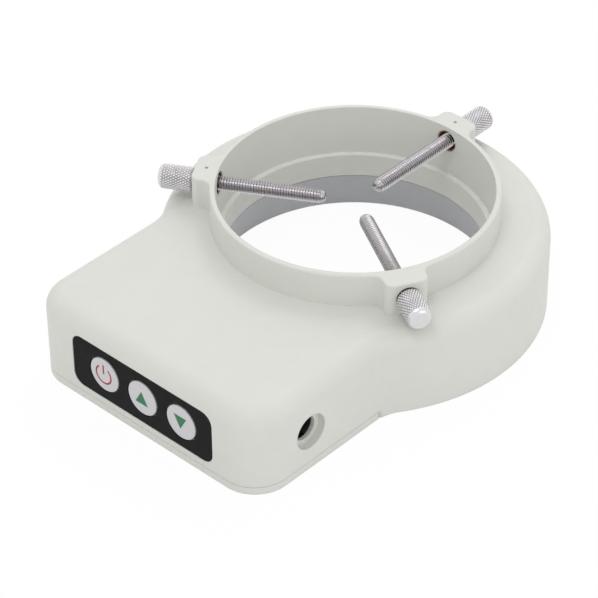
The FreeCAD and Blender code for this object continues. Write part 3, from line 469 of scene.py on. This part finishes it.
def threaded_stud(boss):
    """An M4 thread of real form, rounded at the tip and cut square at its head's end."""
    low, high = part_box("stud_rear")
    start, end, outer = low.y, high.y, (high.x - low.x) / 2
    pitch, depth_share = 0.7 * MM, 0.6134
    inner = outer - depth_share * pitch
    # Crest and root of one turn: the place along it, in pitches, and the radius there.
    form = ((0.0, outer), (0.125, outer), (0.4375, inner), (0.6875, inner))
    around, crease = 40, math.radians(35)
    turns_before, turns_over = 1.5, 3
    turns = int((end - start) / pitch) + turns_over
    nose, taper = 2.3 * MM, 1.25 * MM
    trim = 0.01 * MM
    rows = []
    for turn in range(turns):
        for place, radius in form:
            for column in range(around):
                along = start + pitch * (turn - turns_before + place + column / around)
                left = 1 - min(max(along - start, 0.0), nose) / nose
                limit = outer - taper * (1 - math.sqrt(1 - left ** 2))
                rows.append((min(radius, limit), along, 2 * math.pi * column / around))
    steps = len(form)
    vertices = [round_y(*row) for row in rows]
    count = steps * turns
    faces = []
    for row in range(count - 1):
        for column in range(around):
            here = row * around + column
            if column + 1 < around:
                faces.append((here, here + around, here + around + 1, here + 1))
            elif row + 1 + steps < count:
                joined = (row + steps) * around
                faces.append((here, here + around, joined + around, joined))
    mesh = bmesh.new()
    made = [mesh.verts.new(vertex) for vertex in vertices]
    for face in faces:
        mesh.faces.new([made[number] for number in face])
    for place, normal in ((start + trim, -1), (end - trim, 1)):
        everything = mesh.verts[:] + mesh.edges[:] + mesh.faces[:]
        cut = bmesh.ops.bisect_plane(mesh, geom=everything, plane_co=(0, place, 0),
                                     plane_no=(0, normal, 0), clear_outer=True)
        rim = [item for item in cut["geom_cut"] if isinstance(item, bmesh.types.BMEdge)]
        bmesh.ops.holes_fill(mesh, edges=rim, sides=0)
    bmesh.ops.recalc_face_normals(mesh, faces=mesh.faces[:])
    mesh.verts.index_update()
    points = [vertex.co.copy() for vertex in mesh.verts]
    shapes = [[vertex.index for vertex in face.verts] for face in mesh.faces]
    mesh.free()
    depth = [min(1.0, (outer - math.hypot(point.x, point.z)) / (outer - inner)) for point in points]
    piece = piece_from("thread_" + boss, swing(points, boss), shapes, "stud_" + boss,
                       [FINISHES["stud_steel"]], depth=depth)
    piece.data.set_sharp_from_angle(angle=crease)
    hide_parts("stud_" + boss)


def knurled_head(boss):
    """A thumbscrew head with a diamond knurl, a plain rounded end and a blind bore."""
    low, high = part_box("screw_head_rear")
    start, end, outer = low.y, high.y, (high.x - low.x) / 2
    socket, bore, middle = start + 6.3 * MM, 1.95 * MM, 0.01 * MM
    crown, chamfer = 1.5 * MM, 0.45 * MM
    barrel = end - crown
    # The knurl is cut by grooves with this many starts either way, narrower than their pitch.
    starts, around, rows_per_cell = 27, 270, 10
    cell = 2 * math.pi * outer / starts / math.tan(math.radians(30))
    deep, narrow = 0.23 * MM, 1.75
    first, last = start + 0.25 * MM, barrel + 0.35 * MM
    run_in, run_in_share, run_in_drop = 0.25 * MM, 0.15, 0.3 * MM
    rim_gap, rim_rows = 0.04, 13
    profile = [(start, bore), (start, outer - chamfer)]
    knurl = np.linspace(first, last, int((last - first) / cell * rows_per_cell))
    rim = np.linspace(math.asin((last - barrel) / crown) + rim_gap, math.pi / 2, rim_rows)
    vertices, depth = [], []

    def dome(along):
        """The outer radius: even along the barrel, then round over the crown."""
        return outer - crown + math.sqrt(max(0.0, crown ** 2 - max(0.0, along - barrel) ** 2))

    def ring(along, radius):
        """A circle of points with no groove."""
        for column in range(around):
            vertices.append(round_y(radius, along, 2 * math.pi * column / around))
            depth.append(0.0)

    for along, radius in profile:
        ring(along, radius)
    for along in knurl:
        fade = min(1.0, (along - first) / run_in + run_in_share)
        for column in range(around):
            turn = starts * column / around
            cut = max(1 - min(1.0, narrow * abs(2 * ((turn + way * (along - first) / cell) % 1.0) - 1))
                      for way in (1, -1))
            radius = min(dome(along) - deep * cut, outer - run_in_drop * (1 - fade))
            vertices.append(round_y(radius, along, 2 * math.pi * column / around))
            depth.append(KNURL_LAND + (1 - KNURL_LAND) * cut)
    for angle in rim:
        ring(barrel + crown * math.sin(angle), dome(barrel + crown * math.sin(angle)))
    ring(end, middle)
    ring_count = len(vertices) // around
    faces = grid_faces(ring_count, around)
    faces.append(list(range((ring_count - 1) * around, ring_count * around)))
    inside = len(vertices)
    hole = ((start, bore), (socket, bore), (socket, middle))
    for along, radius in hole:
        ring(along, radius)
    hole_faces = grid_faces(len(hole), around)
    faces += [tuple(inside + number for number in reversed(face)) for face in hole_faces]
    faces.append([inside + (len(hole) - 1) * around + number for number in range(around)][::-1])
    piece = piece_from("knurl_" + boss, swing(vertices, boss), faces, "head_" + boss,
                       [FINISHES["head_nickel"]], depth=depth)
    weld(piece)
    piece.data.set_sharp_from_angle(angle=CAP_CREASE)
    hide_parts("screw_head_" + boss)


def weld(piece):
    """Joins points that lie on each other and turns every face outwards."""
    reach = 0.001 * MM
    mesh = bmesh.new()
    mesh.from_mesh(piece.data)
    bmesh.ops.remove_doubles(mesh, verts=mesh.verts[:], dist=reach)
    bmesh.ops.recalc_face_normals(mesh, faces=mesh.faces[:])
    mesh.to_mesh(piece.data)
    mesh.free()


def lathe_along_y(profile, centre, around):
    """Points and faces of a profile of (radius, y) pairs turned round a line along Y."""
    vertices = [round_y(radius, along, 2 * math.pi * column / around, centre)
                for radius, along in profile for column in range(around)]
    faces = grid_faces(len(profile), around)
    faces.append(list(range((len(profile) - 1) * around, len(profile) * around)))
    faces.append(list(range(around))[::-1])
    return vertices, faces


def button_cap(name):
    """A cap with a flat face inside a narrow rounded rim, on its flange."""
    low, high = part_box("button_" + name)
    centre = ((low.x + high.x) / 2, (low.z + high.z) / 2)
    front, back = low.y, high.y
    flange, cap, core = (high.x - low.x) / 2, 4.8 * MM, 0.5 * MM
    face, face_middle, face_core = 4.4 * MM, 2.0 * MM, 0.3 * MM
    shoulder, bend, corner = back - 0.8 * MM, 0.22 * MM, 0.15 * MM
    # How far the rim, the face's edge and its middle lie behind the node's front.
    rim_back, edge_back, middle_back = 0.03 * MM, 0.025 * MM, 0.02 * MM
    profile = [(core, back), (flange - corner, back), (flange, back - corner),
               (flange, shoulder + corner), (flange - corner, shoulder), (cap, shoulder),
               (cap, front + bend + rim_back)]
    steps = 6
    for step in range(1, steps + 1):
        angle = step / steps * math.pi / 2
        profile.append((cap - bend * (1 - math.cos(angle)), front + rim_back + bend * (1 - math.sin(angle))))
    flat = [(face, front + edge_back), (face_middle, front + middle_back), (face_core, front + middle_back)]
    profile += flat
    vertices, faces = lathe_along_y(profile, centre, CAP_POINTS)
    # Faces take material 0, silver, or 1, rim, a darker grey that paints shade on the cap's sides. The
    # flat's rows and the bend's last row are silver.
    rim_rows = len(profile) - len(flat) - 2
    choice = [1 if number // CAP_POINTS < rim_rows else 0 for number in range(len(faces))]
    front_disc, back_disc = 0, 1
    choice[-2:] = [front_disc, back_disc]
    piece = piece_from("cap_" + name, vertices, faces, "key_" + name,
                       [FINISHES["button_silver"], FINISHES["button_rim"]], choice=choice)
    weld(piece)
    piece.data.set_sharp_from_angle(angle=CAP_CREASE)
    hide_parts("button_" + name)
    return centre, front


def symbol(button, centre, front, outlines, ink):
    """Printed marks as thin raised shapes on a cap's face, from outlines in X and Z, in millimetres."""
    middle_x, middle_z = centre[0] - 0.27 * MM, centre[1] - 0.1 * MM
    vertices, faces = [], []
    top, root = front + 0.004 * MM, front + 0.06 * MM
    for outline in outlines:
        first, count = len(vertices), len(outline)
        for along in (top, root):
            vertices += [(middle_x + across * MM, along, middle_z + up * MM) for across, up in outline]
        faces.append([first + number for number in range(count)])
        for number in range(count):
            after = (number + 1) % count
            faces.append((first + number, first + count + number, first + count + after, first + after))
    piece = piece_from("mark_" + button, vertices, faces, "key_" + button, [ink],
                       smooth=False)
    weld(piece)


def arc_band(radius, width, start, end, steps=40):
    """Quads along a bent bar, so that each outline stays convex."""
    bands = []
    for step in range(steps):
        one, other = (math.radians(start + (end - start) * number / steps) for number in (step, step + 1))
        bands.append([(distance * math.cos(angle), distance * math.sin(angle)) for distance, angle in
                      ((radius - width / 2, one), (radius + width / 2, one),
                       (radius + width / 2, other), (radius - width / 2, other))])
    return bands


def power_symbol():
    """A ring that is open at the top, with a bar in the gap."""
    radius, width, opening = 2.5, 0.5, 74
    foot, top = 0.25, 2.95
    marks = arc_band(radius, width, 90 + opening / 2, 450 - opening / 2)
    marks.append([(-width / 2, foot), (width / 2, foot), (width / 2, top), (-width / 2, top)])
    return marks


def arrow_symbol(way):
    """A triangle that points up for 1 and down for -1."""
    half, tall, below = 2.08, 3.75, 0.47
    base, tip = -way * tall * below, way * tall * (1 - below)
    return [[(-half, base), (half, base), (0.0, tip)]]


def make_buttons():
    red = print_ink("ink_red", (0.36, 0.012, 0.026))
    green = print_ink("ink_green", (0.006, 0.165, 0.058))
    for name, outlines, ink in (("power", power_symbol(), red), ("up", arrow_symbol(1), green),
                                ("down", arrow_symbol(-1), green)):
        centre, front = button_cap(name)
        symbol(name, centre, front, outlines, ink)


def lamp_insides():
    """A phosphor pad in each lamp, above its dome. Three places hold the carrier's screws instead."""
    _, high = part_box("led_lamps")
    places, screws = 39, 3
    circle = 42.675 * MM
    # A pad's outline in millimetres: radius, and depth under the lamp's back.
    rings = ((1.5, 0.5), (1.5, 0.8), (1.1, 1.0), (0.5, 1.08))
    sides = 20
    vertices, faces = [], []
    for number in range(places):
        if number % (places // screws) == 0:
            continue
        angle = math.radians(90) + 2 * math.pi * number / places
        centre = Vector((circle * math.cos(angle), circle * math.sin(angle), high.z))
        first = len(vertices)
        for radius, drop in rings:
            for side in range(sides):
                turn = 2 * math.pi * side / sides
                corner = Vector((radius * math.cos(turn), radius * math.sin(turn), -drop))
                vertices.append(centre + MM * corner)
        faces += [tuple(first + point for point in face) for face in grid_faces(len(rings), sides)]
        faces.append([first + side for side in range(sides)][::-1])
        faces.append([first + (len(rings) - 1) * sides + side for side in range(sides)])
    piece = piece_from("phosphor_pads", vertices, faces, "frame", [FINISHES["lamp_phosphor"]])
    weld(piece)


# Ground, light and camera

def seen_directly(tree):
    """1 for what the camera, metal and glass see, and 0 for light that falls on the object."""
    path = tree.nodes.new("ShaderNodeLightPath")
    total = path.outputs["Is Camera Ray"]
    for kind in ("Is Glossy Ray", "Is Transmission Ray"):
        either = tree.nodes.new("ShaderNodeMath")
        either.operation = "MAXIMUM"
        tree.links.new(total, either.inputs[0])
        tree.links.new(path.outputs[kind], either.inputs[1])
        total = either.outputs["Value"]
    return total


def studio():
    """A white world, a little dimmer as light than as it is seen."""
    scene = bpy.context.scene
    scene.view_settings.view_transform = "Standard"
    world = bpy.data.worlds.new("studio")
    scene.world = world
    world.use_nodes = True
    tree = world.node_tree
    tree.nodes.clear()
    output = tree.nodes.new("ShaderNodeOutputWorld")
    choice = tree.nodes.new("ShaderNodeMixShader")
    lit, seen = 0.77, 1.0
    for number, strength in ((1, lit), (2, seen)):
        background = tree.nodes.new("ShaderNodeBackground")
        background.inputs["Color"].default_value = (1.0, 1.0, 1.0, 1.0)
        background.inputs["Strength"].default_value = strength
        tree.links.new(background.outputs["Background"], choice.inputs[number])
    tree.links.new(seen_directly(tree), choice.inputs[0])
    tree.links.new(choice.outputs["Shader"], output.inputs["Surface"])


def ground():
    """A white floor that shows the object's faint shadow."""
    bounce, shadow_share, reach = 0.95, 0.05, 4.0
    material = bpy.data.materials.new("ground_white")
    material.use_nodes = True
    tree = material.node_tree
    tree.nodes.clear()
    output = tree.nodes.new("ShaderNodeOutputMaterial")
    choice = tree.nodes.new("ShaderNodeMixShader")
    matt = tree.nodes.new("ShaderNodeBsdfDiffuse")
    matt.inputs["Color"].default_value = (bounce, bounce, bounce, 1.0)
    bright = tree.nodes.new("ShaderNodeBsdfDiffuse")
    bright.inputs["Color"].default_value = (1.0, 1.0, 1.0, 1.0)
    glow = tree.nodes.new("ShaderNodeEmission")
    glow.inputs["Strength"].default_value = 1.0
    shaded = tree.nodes.new("ShaderNodeMixShader")
    shaded.inputs[0].default_value = shadow_share
    tree.links.new(glow.outputs["Emission"], shaded.inputs[1])
    tree.links.new(bright.outputs["BSDF"], shaded.inputs[2])
    tree.links.new(seen_directly(tree), choice.inputs[0])
    tree.links.new(matt.outputs["BSDF"], choice.inputs[1])
    tree.links.new(shaded.outputs["Shader"], choice.inputs[2])
    tree.links.new(choice.outputs["Shader"], output.inputs["Surface"])
    corners = [(-reach, -reach, 0), (reach, -reach, 0), (reach, reach, 0), (-reach, reach, 0)]
    mesh = bpy.data.meshes.new("ground")
    mesh.from_pydata(corners, [], [(0, 1, 2, 3)])
    mesh.materials.append(material)
    floor = bpy.data.objects.new("ground", mesh)
    bpy.context.scene.collection.objects.link(floor)


def lamp(name, place, size, power):
    """A square lamp, size across, that points at the object."""
    light = bpy.data.lights.new(name, "AREA")
    light.shape = "SQUARE"
    light.size = size
    light.energy = power
    holder = bpy.data.objects.new(name, light)
    holder.location = place
    aim = Vector(LAMP_TARGET) - Vector(place)
    holder.rotation_euler = aim.to_track_quat("-Z", "Y").to_euler()
    bpy.context.scene.collection.objects.link(holder)


def aim_camera():
    """The photo's view, fitted to the ring and to the edges of the box."""
    azimuth, elevation, roll = (math.radians(angle) for angle in (43.333, 38.122, -0.547))
    target = Vector((20.449, -42.462, 32.66)) * MM
    distance = 670.245
    back = Vector((math.sin(azimuth) * math.cos(elevation), -math.cos(azimuth) * math.cos(elevation),
                   math.sin(elevation)))
    right = Vector((math.cos(azimuth), math.sin(azimuth), 0))
    up = back.cross(right)
    across = math.cos(roll) * right + math.sin(roll) * up
    upright = math.cos(roll) * up - math.sin(roll) * right
    camera = bpy.data.cameras.new("view")
    camera.lens, camera.sensor_width, camera.clip_start = 170.94, 36, 0.01
    holder = bpy.data.objects.new("view", camera)
    turned = Matrix((across, upright, back)).transposed().to_4x4()
    holder.matrix_world = Matrix.Translation(target + back * distance * MM) @ turned
    bpy.context.scene.collection.objects.link(holder)
    bpy.context.scene.camera = holder


aim_camera()
dress_nodes()
for boss in BOSS_ANGLES:
    threaded_stud(boss)
    knurled_head(boss)
make_buttons()
lamp_insides()
studio()
ground()
for name, place, size, power in LAMPS:
    lamp(name, place, size, power)
